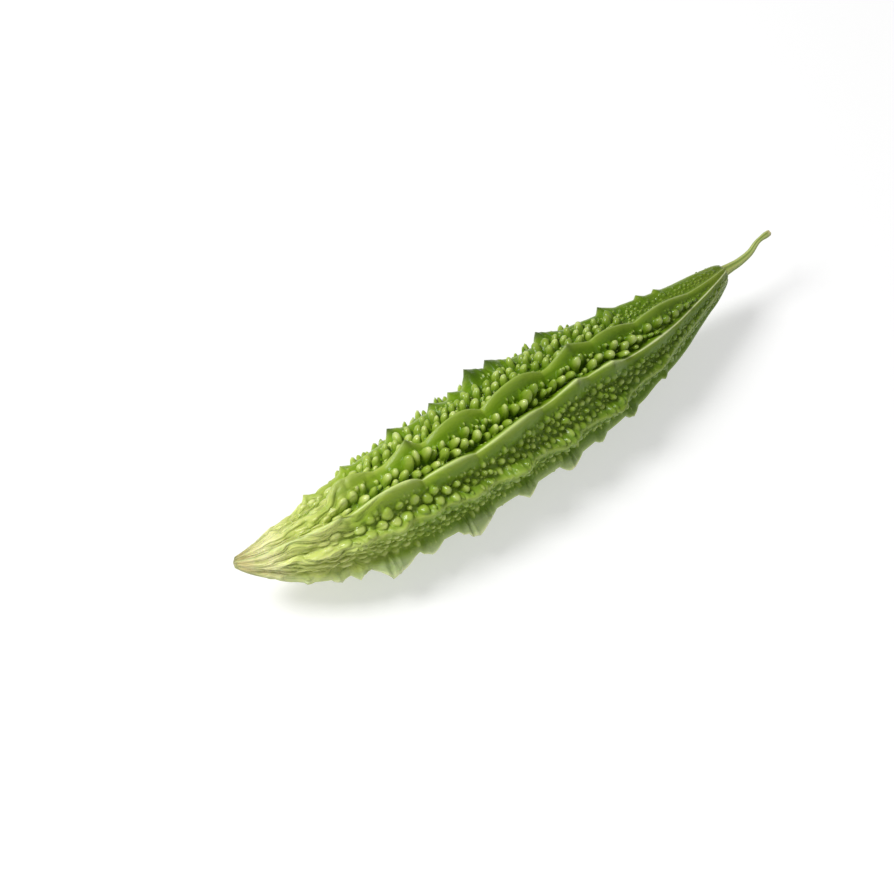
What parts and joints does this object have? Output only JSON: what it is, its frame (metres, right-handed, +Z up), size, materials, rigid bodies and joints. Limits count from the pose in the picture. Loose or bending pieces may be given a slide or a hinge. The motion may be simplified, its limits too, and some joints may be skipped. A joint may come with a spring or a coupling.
{
  "type": "bitter gourd",
  "caption": "Long bowed green fruit with toothed ridges, warts in the valleys between them and a short curved stalk, lying on its side.",
  "frame": {"origin": "centre of the object's box, on the table that it lies on", "axes": "+X along the fruit towards the stalk, +Z up, and the belly of the bow faces -Y"},
  "size_m": [0.2364, 0.05, 0.046],
  "materials": {
    "skin": "waxy green skin, pale yellow at the blossom tip and darker towards the stalk",
    "stalk": "matt pale green, grooved lengthwise"
  },
  "bodies": {
    "root": {"fruit": "skin", "stalk": "stalk"}
  },
  "joints": []
}
